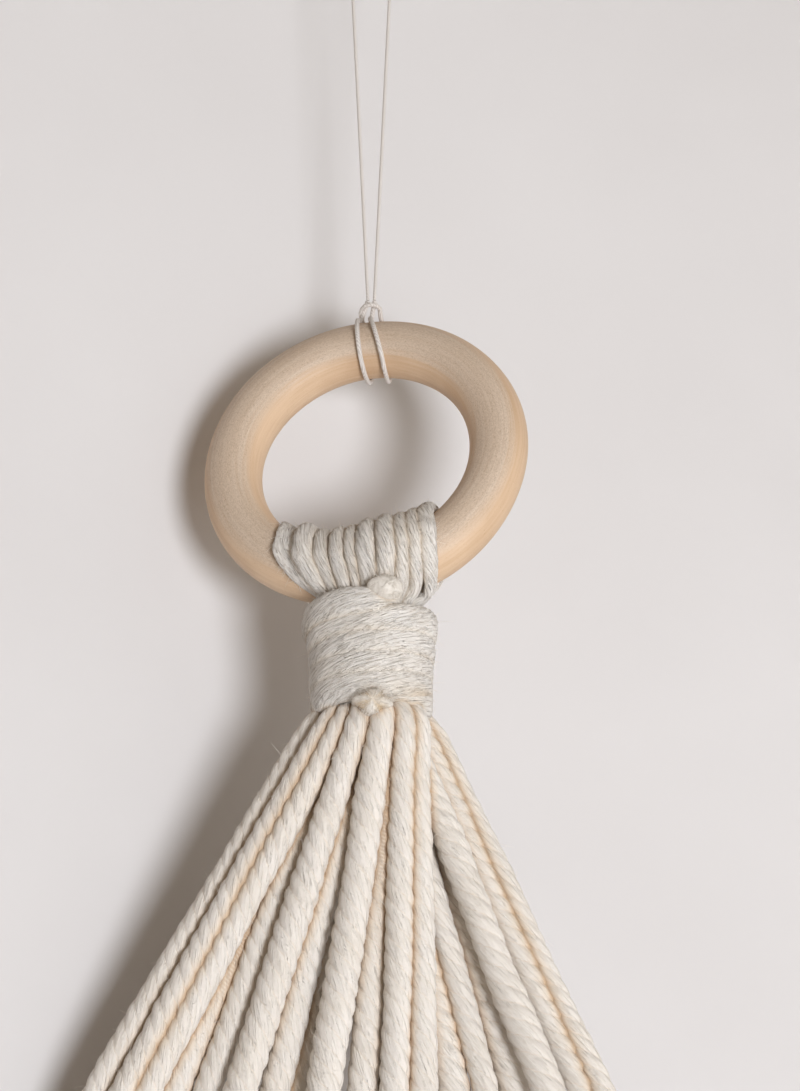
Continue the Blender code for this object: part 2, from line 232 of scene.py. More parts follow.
# The fringe: its strands start inside the knot at ROOT_SHARE of their places under it, flare out
# down to FLARE_LEVEL, ease over FLARE_EASE, and hang down to one trimmed level. Each one's route
# has a row every ROUTE_STEP, begins to wander over SETTLING_DROP and is about STRAND_LENGTH long.
ROOT_LEVEL = -178.0
ROOT_SHARE = 0.6
STRAND_TOP = -184.0
FLARE_LEVEL = -258.0
FRINGE_END = -330.0
FLARE_EASE = 24.0
ROUTE_STEP = 12.0
SETTLING_DROP = 40.0
STRAND_LENGTH = 150.0
STRAND_STEP = 0.75
STRAND_SIDES = 48

# A strand swells as it leaves the knot: by its drop below the root, from ROOT_SIZE to its own.
ROOT_SIZE = 3.6
SWELL_DROPS = (0.0, 6.0, 23.0, 65.0)
SWELL_SHARES = (0.0, 0.5, 0.82, 1.0)

# The wound cord, by turns from its upper end: its outer radius, its level under the knot's top,
# and how much of its width and thickness is left. It is about WRAP_LENGTH long.
Turn = namedtuple("Turn", "turns reach level share")
WRAP = (
    Turn(-0.03, 12.0, 2.3, 0.7),
    Turn(0.04, 13.4, 2.2, 0.95),
    Turn(0.12, 14.1, 2.1, 1.0),
    Turn(0.3, 14.1, 3.3, 1.0),
    Turn(0.5, 13.6, 3.8, 1.0),
    Turn(0.75, 13.6, 4.1, 1.0),
    Turn(0.9, 13.5, 4.8, 1.0),
    Turn(1.05, 13.4, 6.1, 1.0),
    Turn(2.0, 13.0, 10.0, 1.0),
    Turn(3.0, 12.8, 14.4, 1.0),
    Turn(4.0, 12.7, 18.8, 1.0),
    Turn(4.5, 12.7, 20.6, 1.0),
    Turn(4.85, 12.7, 20.6, 1.0),
    Turn(4.97, 12.3, 20.2, 0.8),
    Turn(5.04, 11.2, 19.8, 0.6),
)
WRAP_START = 20.0
WRAP_STEP = 0.024
WRAP_LENGTH = 360.0
WRAP_WIDE = 6.4
WRAP_THICK = 3.9
WRAP_PHASE = 40.0

# The wound cord's two cut ends, which point out of the knot: place round the knot, reach, and
# how far each one rises. Lumps are the plies that show in the cut, and hairs its loose fibres.
Stub = namedtuple("Stub", "name angle level inner outer rise wide tall lumps hairs")
STUBS = (
    Stub("upper_stub", 13.0, -0.5, 9.0, 15.1, 2.2, 7.1, 5.0, 0.05, 260),
    Stub("lower_stub", 1.5, -23.2, 9.0, 14.8, -0.4, 7.2, 4.8, 0.15, 500),
)
STEM_RINGS = 4
DOME_RINGS = 22
STUB_SIDES = 40

# A cut end's dome: how full it is and how small its tip, where its lumps start, and the small
# waves that run round it and turn along it. Only lumps over SMOOTH_LUMPS are parted by creases,
# which get painted shade, darker the deeper the hollow between lumps.
DOME_POWER = 0.8
DOME_TIP = 0.02
LUMP_START = 0.6
DOME_WAVES = (3, 5, 7)
DOME_WAVE = 0.018
DOME_WAVE_TURN = 1.1
SMOOTH_LUMPS = 0.05
DOME_CREASE_SHADE = 0.4
LUMP_CREASE_SHADE = 3

# The thread's route, in metres, as the frame has it.
THREAD = 0.7 * MM
THREAD_ROUTE = (
    (-0.0005, 0.0, -0.0821),
    (-0.0042, 0.0, -0.006),
    (-0.00406, 0.0, -0.00454),
    (-0.00364, 0.0, -0.00318),
    (-0.00297, 0.0, -0.002),
    (-0.0021, 0.0, -0.00111),
    (-0.00109, 0.0, -0.00054),
    (0.0, 0.0, -0.00035),
    (0.00109, 0.0, -0.00054),
    (0.0021, 0.0, -0.00111),
    (0.00297, 0.0, -0.002),
    (0.00364, 0.0, -0.00318),
    (0.00406, 0.0, -0.00454),
    (0.0042, 0.0, -0.006),
    (0.0009, 0.0, -0.0821),
)

# The wall stands close behind the hanging's left side and falls away to the right. Its size and
# the floor's level are in metres.
WALL_PLACE = 29.8
WALL_TURN = 20.6
WALL_SIZE = 4.0
FLOOR_LEVEL = -0.9

# Two soft lights, as seen from the ring: where from, how far and how large, in metres, and how
# strong. The rest of the room is a warm, weak light from all sides.
Light = namedtuple("Light", "name aim distance size power colour")
LIGHTS = (
    Light("key", (0.42, -1.0, -0.39), 1.6, 0.5, 19.0, (0.965, 0.992, 1.04)),
    Light("side", (1.0, -0.45, 0.15), 2.2, 3.0, 11.8, (1.0, 0.985, 0.96)),
)
WORLD_COLOUR = (1.0, 0.77, 0.53)
WORLD_STRENGTH = 0.185

# Colours of the cotton: on a yarn and between yarns, the second partly painted shade in the
# grooves and partly the fibres' own darker tone, and near and against another cord, where they
# multiply it as painted shade. Depth is how strongly its yarns stand out, fuzz how deep its
# fibres lie, and nap its fine unevenness, the last two in metres.
Cotton = namedtuple("Cotton", "name pale deep near meet depth fuzz nap")
FRINGE_COTTON = Cotton(
    "fringe_cotton",
    (0.865, 0.815, 0.755),
    (0.83, 0.77, 0.695),
    (0.965, 0.905, 0.835),
    (0.73, 0.58, 0.435),
    0.7,
    0.00016,
    0.00013,
)
# The knot's cotton is paler than the fringe's, though the folded loops are the fringe's own cords:
# the paler colour on the loops is painted light.
KNOT_COTTON = Cotton(
    "knot_cotton",
    (0.965, 0.925, 0.875),
    (0.75, 0.685, 0.61),
    (0.97, 0.945, 0.905),
    (0.80, 0.71, 0.60),
    1.0,
    0.0004,
    0.00003,
)

# How fine a noise is. On a cord's or the ring's own lay it is stretched along the grain, to a
# millimetre. On a place it is to a metre.
Grain = namedtuple("Grain", "scale detail stretch roughness", defaults=((1.0, 1.0, 1.0), 0.5))
YARN_GRAIN = Grain(1.0, 2.0, (1.7, 1.7, 0.16))
FIBRE_GRAIN = Grain(1.0, 3.0, (5.0, 5.0, 0.3))
FINE_GRAIN = Grain(1.0, 2.0, (13.0, 13.0, 1.5))
NAP_GRAIN = Grain(1500.0, 2.0)
BLOTCH_GRAIN = Grain(130.0, 2.0)
FELT_GRAIN = Grain(900.0, 3.0)
CUT_GRAIN = Grain(2600.0, 2.0)
HAIR_GRAIN = Grain(400.0, 1.0)
FIGURE_GRAIN = Grain(70.0, 3.0, (1.0, 1.0, 0.35))
LATHE_GRAIN = Grain(1.0, 4.0, (0.05, 1.6, 1.6), 0.65)
PORE_GRAIN = Grain(1.0, 3.0, (2.2, 5.0, 5.0), 0.65)
PAINT_GRAIN = Grain(9.0, 3.0)

# Where a noise or a mark changes colour, and the colours there.
WHITE = (1.0, 1.0, 1.0)
COTTON_STREAKS = (0.45, 0.60)
COTTON_CONTACT_SHADE = (0.2, 0.68, 1.0)
COTTON_BLOTCHES = ((0.3, (0.97, 0.955, 0.93)), (0.7, WHITE))
COTTON_CREASE_SHADE = ((0.45, WHITE), (1.0, (0.92, 0.83, 0.72)))
FELT_TONES = ((0.35, (0.66, 0.61, 0.54)), (0.6, (0.79, 0.745, 0.68)))
FELT_CREASE_SHADE = ((0.1, WHITE), (0.8, (0.78, 0.66, 0.50)))
HAIR_TONES = ((0.3, (0.80, 0.74, 0.67)), (0.7, (0.90, 0.86, 0.80)))
THREAD_TONES = ((0.2, (0.60, 0.55, 0.51)), (0.8, (0.76, 0.72, 0.68)))
TAN_WOOD = ((0.3, (0.63, 0.44, 0.285)), (0.7, (0.76, 0.565, 0.39)))
GREY_FRONT_WOOD = ((0.36, (0.555, 0.445, 0.345)), (0.62, (0.715, 0.595, 0.485)))
LATHE_LINES = ((0.35, (0.90, 0.86, 0.81)), (0.62, WHITE))
WOOD_PORES = ((0.28, (0.80, 0.72, 0.63)), (0.40, WHITE))
PAINT_TONES = ((0.3, (0.70, 0.68, 0.675)), (0.7, (0.74, 0.722, 0.718)))
FLOOR_COLOUR = (0.74, 0.72, 0.70)

# The thread's twist shows as fine bands that waver: the wave's scale and its distortion.
THREAD_BANDS = 900.0
THREAD_WAVER = 1.0

# The yarns in the cotton's material: how far their grooves wobble, how sharp they are, and how
# much painted shade darkens the grooves between them.
YARN_WOBBLE = 8.0
YARN_SHARPNESS = 0.7
YARN_GROOVE_SHADE = 0.16

# The greyer band along the ring's front: how far forwards of the section's middle it begins and
# is full, how much the lathe lines shift it, and how strong it, the lines and the pores are.
GREY_FRONT_FROM = 4.6
GREY_FRONT_FULL = 6.9
GREY_FRONT_SHIFT = 2.4
GREY_FRONT_SHARE = 0.85
LINES_SHARE = 0.8
PORES_SHARE = 0.7

# The relief of a surface: how high it is, in metres, and how strongly it shows.
Relief = namedtuple("Relief", "height strength")
RIDGE_RELIEF = Relief(0.00018, 0.9)
YARN_RELIEF = Relief(0.0003, 0.8)
FELT_RELIEF = Relief(0.0003, 0.8)
CUT_RELIEF = Relief(0.0001, 0.8)
LATHE_RELIEF = Relief(0.00012, 0.6)
PORE_RELIEF = Relief(0.00007, 0.6)
THREAD_RELIEF = Relief(0.00003, 0.7)
FIBRE_STRENGTH = 1.0
FINE_STRENGTH = 0.9
FINE_SHARE = 0.3
NAP_STRENGTH = 0.6


def unit(vectors):
    return vectors / np.linalg.norm(vectors, axis=-1, keepdims=True)


def ring_axes():
    turn = Euler((math.radians(90 - RING_LEAN), 0.0, math.radians(RING_TURN)))
    return np.array(turn.to_matrix())


def on_ring(along, around, reach):
    """A point at `reach` from the middle of the ring's section, and the way out from there."""
    along, around = math.radians(along), math.radians(around)
    middle = np.array([math.sin(along), -math.cos(along), 0.0])
    outward = middle * math.cos(around) + np.array([0.0, 0.0, math.sin(around)])
    axes = ring_axes()
    place = RING_CENTRE + axes @ (middle * RING_RADIUS + outward * reach)
    return place, axes @ outward


def round_knot(angle, radius, level):
    """A point round the knot's axis, and the way out from there."""
    angle = math.radians(angle)
    outward = np.array([math.sin(angle), -math.cos(angle), 0.0])
    return KNOT_AXIS + outward * radius + np.array([0.0, 0.0, level]), outward


def travel(route):
    """How far it is along a route to each of its rows."""
    lengths = np.linalg.norm(np.diff(route, axis=0), axis=1)
    return np.concatenate([[0.0], np.cumsum(lengths)])


def smooth(points, step):
    """Evenly spaced rows on the smooth curve through the given rows, by their first three
    columns. The other columns follow."""
    rows = np.array(points, dtype=float)
    padded = np.vstack([2 * rows[0] - rows[1], rows, 2 * rows[-1] - rows[-2]])
    share = np.linspace(0, 1, FINE_ROWS, endpoint=False)[:, None]
    fine = []
    for before, start, end, after in zip(padded, padded[1:], padded[2:], padded[3:]):
        pull = share * (end - before)
        bend = share ** 2 * (2 * before - 5 * start + 4 * end - after)
        swing = share ** 3 * (3 * start - before - 3 * end + after)
        fine.append(start + 0.5 * (pull + bend + swing))
    fine = np.vstack(fine + [rows[-1:]])
    travelled = travel(fine[:, :3])
    wanted = np.linspace(0, travelled[-1], max(3, round(travelled[-1] / step) + 1))
    return np.stack([np.interp(wanted, travelled, column) for column in fine.T], axis=1)


def wander(random, count, length, drift):
    """A slow random walk between -reach and reach: a value for each of `count` places along."""
    knots = max(4, int(length / drift.span) + 3)
    values = random.uniform(-1, 1, knots)
    at = np.linspace(0, knots - 1.001, count)
    low = at.astype(int)
    share = at - low
    share = share * share * (3 - 2 * share)
    return drift.reach * (values[low] * (1 - share) + values[low + 1] * share)


def placed(name, data):
    """A new object in the scene, made of the data."""
    made = bpy.data.objects.new(name, data)
    bpy.context.collection.objects.link(made)
    return made


def placed_mesh(mesh, material):
    """Smooths a finished mesh, gives it its material and places it."""
    mesh.shade_smooth()
    mesh.materials.append(material)
    return placed(mesh.name, mesh)


def mark_points(mesh, name, values):
    """Keeps a number, or a row of three, at each of the mesh's points, for its material."""
    kind, field = ("FLOAT_VECTOR", "vector") if values.ndim > 1 else ("FLOAT", "value")
    attribute = mesh.attributes.new(name, kind, "POINT")
    attribute.data.foreach_set(field, values.ravel())


Skin = namedtuple("Skin", "route radius places")


class Bundle:
    """Collects closed tubes, and makes one mesh of them."""

    def __init__(self):
        self.skins = []
        self.lays = []
        self.creases = []
        self.contact_shades = []
        self.quads = []
        self.caps = []
        self.count = 0

    def add(self, skin, lays, creases):
        rings, sides = skin.places.shape[:2]
        index = np.arange(rings * sides).reshape(rings, sides) + self.count
        after = np.roll(index, -1, axis=1)
        quads = np.stack([index[:-1], after[:-1], after[1:], index[1:]], axis=-1)
        self.quads.append(quads.reshape(-1, 4))
        self.caps.append(index[0][::-1])
        self.caps.append(index[-1])
        self.skins.append(skin)
        self.lays.append(lays.reshape(-1, 3))
        self.creases.append(creases.ravel())
        self.count += rings * sides

    def mesh(self, name, material):
        quads = np.vstack(self.quads)
        corners = np.concatenate([quads.ravel()] + self.caps)
        totals = np.concatenate([np.full(len(quads), 4), [len(cap) for cap in self.caps]])
        starts = np.concatenate([[0], np.cumsum(totals)[:-1]])
        places = np.vstack([skin.places.reshape(-1, 3) for skin in self.skins])
        mesh = bpy.data.meshes.new(name)
        mesh.vertices.add(self.count)
        mesh.vertices.foreach_set("co", (places * MM).ravel())
        mesh.loops.add(len(corners))
        mesh.loops.foreach_set("vertex_index", corners.astype(np.int32))
        mesh.polygons.add(len(totals))
        mesh.polygons.foreach_set("loop_start", starts.astype(np.int32))
        mesh.update(calc_edges=True)
        mesh.validate()
        mark_points(mesh, "lay", np.vstack(self.lays))
        mark_points(mesh, "crease", np.concatenate(self.creases))
        mark_points(mesh, "contact_shade", np.concatenate(self.contact_shades))
        return placed_mesh(mesh, material)


Routes = namedtuple("Routes", "middles courses radii owners along")


def gather_routes(skins):
    """All the cords' routes, row by row: the place, course and radius, whose it is and how far
    along."""
    return Routes(
        np.vstack([skin.route for skin in skins]),
        np.vstack([unit(np.gradient(skin.route, axis=0)) for skin in skins]),
        np.concatenate([skin.radius for skin in skins]),
        np.concatenate([np.full(len(skin.route), owner) for owner, skin in enumerate(skins)]),
        np.concatenate([travel(skin.route) for skin in skins]),
    )


def search_tree(places):
    tree = KDTree(len(places))
    for index, place in enumerate(places):
        tree.insert(place, index)
    tree.balance()
    return tree


def other_rows(tree, routes, row):
    """The rows near a row that belong to another cord, or to a far part of the same one."""
    found = tree.find_range(routes.middles[row], CONTACT_REACH)
    rows = np.array([index for _, index, _ in found])
    apart = np.abs(routes.along[rows] - routes.along[row])
    own = (routes.owners[rows] == routes.owners[row]) & (apart < OWN_LENGTH)
    return rows[~own]


def contact_at(points, routes, rows):
    """How near each point of a surface is to the nearest of the given rows' cords."""
    apart = points[:, None, :] - routes.middles[rows][None, :, :]
    course = routes.courses[rows][None, :, :]
    past = np.sum(apart * course, axis=2, keepdims=True)
    apart = apart - course * np.clip(past, -STRAND_STEP, STRAND_STEP)
    gap = np.linalg.norm(apart, axis=2) - routes.radii[rows][None, :]
    return 1 - gap.min(axis=1) / CONTACT_GAP


def mark_contact_shades(bundles):
    """Marks each cord's surface for the painted shade where cords meet: 1 where it meets another
    cord, 0 where one is CONTACT_GAP away, down to CLEAR where none is near, and over 1 where it
    goes into one."""
    routes = gather_routes([skin for bundle in bundles for skin in bundle.skins])
    tree = search_tree(routes.middles)
    row = 0
    for bundle in bundles:
        for skin in bundle.skins:
            near = np.full(skin.places.shape[:2], CLEAR)
            for ring, points in enumerate(skin.places):
                rows = other_rows(tree, routes, row)
                if len(rows):
                    near[ring] = contact_at(points, routes, rows)
                row += 1
            bundle.contact_shades.append(np.maximum(near, CLEAR).ravel())


def rounded_ends(travelled):
    """Sizes that close a tube's two ends with a short round."""
    near = np.minimum(travelled, travelled[-1] - travelled)
    near = np.clip(near / CUT_ROUNDING, 0.0, 1.0)
    return np.sqrt(np.clip(1 - (1 - near) ** 2, 0.0, 1.0)) * (1 - CUT_LEAST) + CUT_LEAST


Section = namedtuple("Section", "angles plies across outline creases")


def cord_section(sides, lobes):
    """A cord's section by its angles: which ply is there, the angle from that ply's middle, the
    radius, which is 1 on a ply's crest, and the painted shade in the creases, which is `lobes`
    between two plies."""
    angles = np.linspace(0, FULL_TURN, sides, endpoint=False)
    share = angles * PLIES / FULL_TURN + 0.5
    across = (np.mod(share, 1.0) - 0.5) * FULL_TURN / PLIES
    ply = 1 - PLY_OFFSET
    crest = PLY_OFFSET * np.cos(across) + np.sqrt(ply ** 2 - (PLY_OFFSET * np.sin(across)) ** 2)
    dip = lobes * (1 - crest)
    return Section(angles, share // 1 % PLIES, across, 1 - dip, dip / (1 - crest).max())


def swelling_plies(section, swell, travelled, random):
    """How each ply swells and thins on its way."""
    swells = 0
    for ply in range(PLIES):
        drift = wander(random, len(travelled), travelled[-1], Drift(swell, SWELL_SPAN))
        swells = swells + drift[:, None] * (section.plies == ply)[None, :]
    return swells * np.cos(section.across * PLIES / 2)[None, :] ** 2


def yarn_waves(laid, travelled, random):
    """The yarns' crests and grooves, from 1 to -1, where they don't fade."""
    drift = wander(random, len(travelled), travelled[-1], YARN_DRIFT)[:, None]
    fading = wander(random, len(travelled), travelled[-1], FADE_DRIFT)[:, None]
    fade = (1 - FADE) + FADE * np.cos(FADE_BANDS * laid + fading)
    return fade * np.cos(YARNS * laid + drift)


def pressed(waves, square):
    """A cosine or sine round a section, pressed outwards to a squarer one."""
    return np.sign(waves) * np.abs(waves) ** square


def lay_cord(bundle, route, outward, wide, thick, phase, random, sides, look):
    """Lays a plied cord along a route. wide and thick are its two diameters there."""
    tangent = unit(np.gradient(route, axis=0))
    normal = unit(outward - tangent * np.sum(outward * tangent, axis=1, keepdims=True))
    side = np.cross(tangent, normal)
    travelled = travel(route)
    section = cord_section(sides, look.lobes)
    pace = 1 + wander(random, len(route), travelled[-1], PACE_DRIFT)
    turned = np.concatenate([[0.0], np.cumsum(np.diff(travelled) * pace[1:])])
    turning = math.radians(phase) + turned * FULL_TURN / CORD_TURN
    around = section.angles[None, :] + turning[:, None]
    twist = (travelled * FULL_TURN / look.yarn_turn)[:, None]
    swells = swelling_plies(section, look.swell, travelled, random)
    yarns = yarn_waves(around - twist, travelled, random)
    reach = section.outline[None, :] + swells + look.relief * yarns
    reach = reach * rounded_ends(travelled)[:, None] / 2
    sideways = pressed(np.cos(around), look.square) * reach * wide[:, None]
    outwards = pressed(np.sin(around), look.square) * reach * thick[:, None]
    places = (
        route[:, None, :]
        + side[:, None, :] * sideways[:, :, None]
        + normal[:, None, :] * outwards[:, :, None]
    )
    start = random.uniform(0, LAY_SHIFT)
    lays = np.stack([
        sideways * np.cos(twist) + outwards * np.sin(twist),
        outwards * np.cos(twist) - sideways * np.sin(twist),
        np.broadcast_to(travelled[:, None] + start, around.shape),
    ], axis=-1)
    # Painted shade, deeper in the creases between plies and in the grooves between yarns.
    creases = section.creases[None, :] - YARN_CREASE_SHADE * yarns
    bundle.add(Skin(route, np.minimum(wide, thick) / 2, places), lays, creases)


def fold_row(fold, place_and_outward, share=1.0):
    place, outward = place_and_outward
    return [*place, *outward, fold.wide * share, fold.thick * share]


def leg_rows(fold, angle, spread):
    """A leg's rows, from inside the knot up to the neck."""
    legs = (*LEG_ROOT, Leg(fold.neck_radius * spread, NECK_RISE, NECK_SHARE))
    return [
        fold_row(fold, round_knot(angle, leg.reach, KNOT_TOP + leg.rise), leg.share)
        for leg in legs
    ]


def fold_rows(fold):
    """A folded cord's rows, from one leg to the other: place, outward, width and thickness."""
    reach = SECTION_RADIUS + FOLD_GAP + fold.thick / 2
    over = []
    for around in FOLD_SIDES:
        leg = fold.front if around < HOLE_SIDE else fold.front - BACK_SHIFT
        share = min(1.0, abs(around - HOLE_SIDE) / FOLD_SPAN)
        over.append(fold_row(fold, on_ring(fold.hole + (leg - fold.hole) * share, around, reach)))
    back = leg_rows(fold, 180 - BACK_TURN * fold.neck, BACK_SPREAD)
    return leg_rows(fold, fold.neck, 1.0) + over + back[::-1]


def off_the_wood(places, stand):
    """The same places, pushed out of the ring's section where they are nearer than `stand`."""
    axes = ring_axes()
    local = (places - RING_CENTRE) @ axes
    flat = local * np.array([1.0, 1.0, 0.0])
    middle = unit(flat) * RING_RADIUS
    outward = local - middle
    length = np.linalg.norm(outward, axis=1, keepdims=True)
    reach = np.maximum(length, SECTION_RADIUS + stand[:, None])
    return RING_CENTRE + (middle + outward / length * reach) @ axes.T


def folded_loops():
    random = np.random.default_rng(CORD_SEED)
    bundle = Bundle()
    for fold in FOLDS:
        rows = smooth(fold_rows(fold), LOOP_STEP)
        outward = rows[:, 3:6]
        wide, thick = rows[:, 6], rows[:, 7]
        route = off_the_wood(rows[:, :3], WOOD_GAP + thick / 2)
        for _ in range(EASING):
            route[1:-1] = (route[:-2] + 2 * route[1:-1] + route[2:]) / 4
        lay_cord(bundle, route, outward, wide, thick, fold.phase, random, LOOP_SIDES, LOOP_LOOK)
    return bundle


def strand_route(strand, random):
    """From inside the knot, straight down and outwards, then easing to hang."""
    top = np.array([strand.top_x, strand.top_y])
    low = np.array([strand.low_x, strand.low_y])
    flare = STRAND_TOP - FLARE_LEVEL
    rows = [[*(top * ROOT_SHARE), ROOT_LEVEL]]
    for drop in np.arange(0.0, STRAND_TOP - FRINGE_END, ROUTE_STEP):
        eased = flare + FLARE_EASE * (1 - math.exp(-max(drop - flare, 0.0) / FLARE_EASE))
        share = min(drop, eased) / flare
        rows.append([*(top + (low - top) * share), STRAND_TOP - drop])
    rows.append([*(top + (low - top) * eased / flare), FRINGE_END])
    route = smooth(rows, STRAND_STEP) + KNOT_AXIS
    drop = ROOT_LEVEL - route[:, 2]
    settled = np.clip(drop / SETTLING_DROP, 0.0, 1.0)
    for axis, drift in enumerate(STRAND_DRIFTS):
        route[:, axis] += settled * wander(random, len(route), drop[-1], drift)
    return route


def fringe(strands, seed):
    random = np.random.default_rng(seed)
    bundle = Bundle()
    for strand in strands:
        route = strand_route(strand, random)
        share = np.interp(ROOT_LEVEL - route[:, 2], SWELL_DROPS, SWELL_SHARES)
        size = ROOT_SIZE + (strand.size - ROOT_SIZE) * share
        size = size * (1 + wander(random, len(route), STRAND_LENGTH, SIZE_DRIFT))
        outward = np.tile([0.0, -1.0, 0.0], (len(route), 1))
        phase = random.uniform(0, 360)
        lay_cord(bundle, route, outward, size, size, phase, random, STRAND_SIDES, STRAND_LOOK)
    return bundle


def wrap_rows():
    """The wound cord's rows: place, outward, and how much of its size is left."""
    marks = [row.turns for row in WRAP]
    turns = np.arange(marks[0], marks[-1], WRAP_STEP)
    reach = np.interp(turns, marks, [row.reach for row in WRAP]) - WRAP_THICK / 2
    level = np.interp(turns, marks, [row.level for row in WRAP])
    shares = np.interp(turns, marks, [row.share for row in WRAP])
    rows = []
    for turn, radius, depth, share in zip(turns, reach, level, shares):
        place, outward = round_knot(WRAP_START - 360 * turn, radius, KNOT_TOP - depth)
        rows.append([*place, *outward, share])
    return rows


def wound_cord():
    random = np.random.default_rng(WRAP_SEED)
    rows = smooth(wrap_rows(), LOOP_STEP)
    count = len(rows)
    place, outward, share = rows[:, :3], rows[:, 3:6], rows[:, 6]
    place[:, 2] += wander(random, count, WRAP_LENGTH, WRAP_LEVEL_DRIFT)
    place += outward * wander(random, count, WRAP_LENGTH, WRAP_REACH_DRIFT)[:, None]
    wide = WRAP_WIDE * share * (1 + wander(random, count, WRAP_LENGTH, WRAP_WIDE_DRIFT))
    thick = WRAP_THICK * share
    bundle = Bundle()
    lay_cord(bundle, place, outward, wide, thick, WRAP_PHASE, random, LOOP_SIDES, WRAP_LOOK)
    return bundle


def dome_lumps(stub, angles, advance, size, random):
    """A cut end's uneven surface: its plies' lumps, and small waves that turn on their way."""
    lumps = stub.lumps * np.cos(PLIES * angles + LUMP_START)[None, :] * size[:, None]
    for count in DOME_WAVES:
        start = random.uniform(0, FULL_TURN)
        wave = start + count * angles[None, :] + DOME_WAVE_TURN * advance[:, None]
        lumps = lumps + DOME_WAVE * np.sin(wave)
    return lumps


def cut_end(stub):
    """A cut end of the wound cord: a soft dome on a short stem."""
    root, _ = round_knot(stub.angle, stub.inner, KNOT_TOP + stub.level)
    tip, _ = round_knot(stub.angle, stub.outer, KNOT_TOP + stub.level + stub.rise)
    along = unit(tip - root)
    side = unit(np.cross([0.0, 0.0, 1.0], along))
    over = np.cross(along, side)
    bend = np.linspace(0.0, math.pi / 2, DOME_RINGS)
    dome = stub.tall / 2
    stem = np.linalg.norm(tip - root) - dome
    stem_rings = np.linspace(0, stem, STEM_RINGS, endpoint=False)
    advance = np.concatenate([stem_rings, stem + dome * np.sin(bend)])
    size = np.concatenate([np.ones(STEM_RINGS), np.maximum(np.cos(bend), DOME_TIP) ** DOME_POWER])
    angles = np.linspace(0, FULL_TURN, STUB_SIDES, endpoint=False)
    lumps = dome_lumps(stub, angles, advance, size, np.random.default_rng(STUB_SEED))
    reach = size[:, None] * (1 + lumps)
    sideways = np.cos(angles)[None, :] * reach * stub.wide / 2
    upwards = np.sin(angles)[None, :] * reach * stub.tall / 2
    route = root + along * advance[:, None]
    places = route[:, None] + side * sideways[..., None] + over * upwards[..., None]
    parted = stub.lumps > SMOOTH_LUMPS
    # Painted shade in the hollows between the lumps of a parted cut end.
    creases = np.clip(DOME_CREASE_SHADE - LUMP_CREASE_SHADE * lumps, 0.0, 1.0) * parted
    bundle = Bundle()
    bundle.add(Skin(route, size * stub.tall / 2, places), places, creases)
    return bundle


def hair_roots(tufts, random):
    """Where the fibres stand and which way they go. Each tuft is a bundle and how many fibres
    there are to a millimetre of it."""
    roots = []
    aims = []
    for bundle, density in tufts:
        for route, _, places in bundle.skins:
            tangent = unit(np.gradient(route, axis=0))
            count = int(travel(route)[-1] * density)
            rows = random.integers(1, len(route) - 1, count)
            sides = random.integers(0, places.shape[1], count)
            root = places[rows, sides]
            outward = unit(root - route[rows])
            leaning = tangent[rows] * random.uniform(-HAIR_LEAN, HAIR_LEAN, (count, 1))
            roots.append(root - outward * HAIR_DEPTH)
            aims.append(unit(outward * random.uniform(*HAIR_LIFTS, (count, 1)) + leaning))
    return np.vstack(roots), np.vstack(aims)


def hair_corners(roots, aims, random):
    """The corners of each fibre's thin curved tube, ring by ring, from its root to its tip."""
    count = len(roots)
    short, long = HAIR_LENGTHS
    lengths = short + (long - short) * random.uniform(0, 1, (count, 1)) ** 2
    curls = random.normal(0, HAIR_CURL, (count, 3)) * lengths
    across = unit(np.cross(aims, random.normal(0, 1, (count, 3))))
    over = np.cross(aims, across)
    corners = []
    for share, size in HAIR_TAPER:
        middle = roots + aims * lengths * share + curls * share ** 2
        for side in range(HAIR_SIDES):
            angle = side * FULL_TURN / HAIR_SIDES
            outward = across * math.cos(angle) + over * math.sin(angle)
            corners.append(middle + outward * size * HAIR / 2)
    return np.stack(corners, axis=1)


def hair_faces(count):
    """The faces of all the fibres' tubes, and of their two ends."""
    sides = []
    for ring in range(len(HAIR_TAPER) - 1):
        for side in range(HAIR_SIDES):
            low = HAIR_SIDES * ring + side
            high = HAIR_SIDES * ring + (side + 1) % HAIR_SIDES
            sides.append((low, high, high + HAIR_SIDES, low + HAIR_SIDES))
    corners = HAIR_SIDES * len(HAIR_TAPER)
    ends = (range(HAIR_SIDES)[::-1], range(corners - HAIR_SIDES, corners))
    firsts = corners * np.arange(count)[:, None, None]
    sides = (np.array(sides)[None] + firsts).reshape(-1, 4)
    ends = (np.array(ends)[None] + firsts).reshape(-1, HAIR_SIDES)
    return sides.tolist() + ends.tolist()


def make_hairs(name, seed, tufts, material):
    """Fine fibres that stand off the cords."""
    random = np.random.default_rng(seed)
    roots, aims = hair_roots(tufts, random)
    corners = hair_corners(roots, aims, random).reshape(-1, 3) * MM
    mesh = bpy.data.meshes.new(name)
    mesh.from_pydata(corners.tolist(), [], hair_faces(len(roots)))
    mesh.update()
    return placed_mesh(mesh, material)


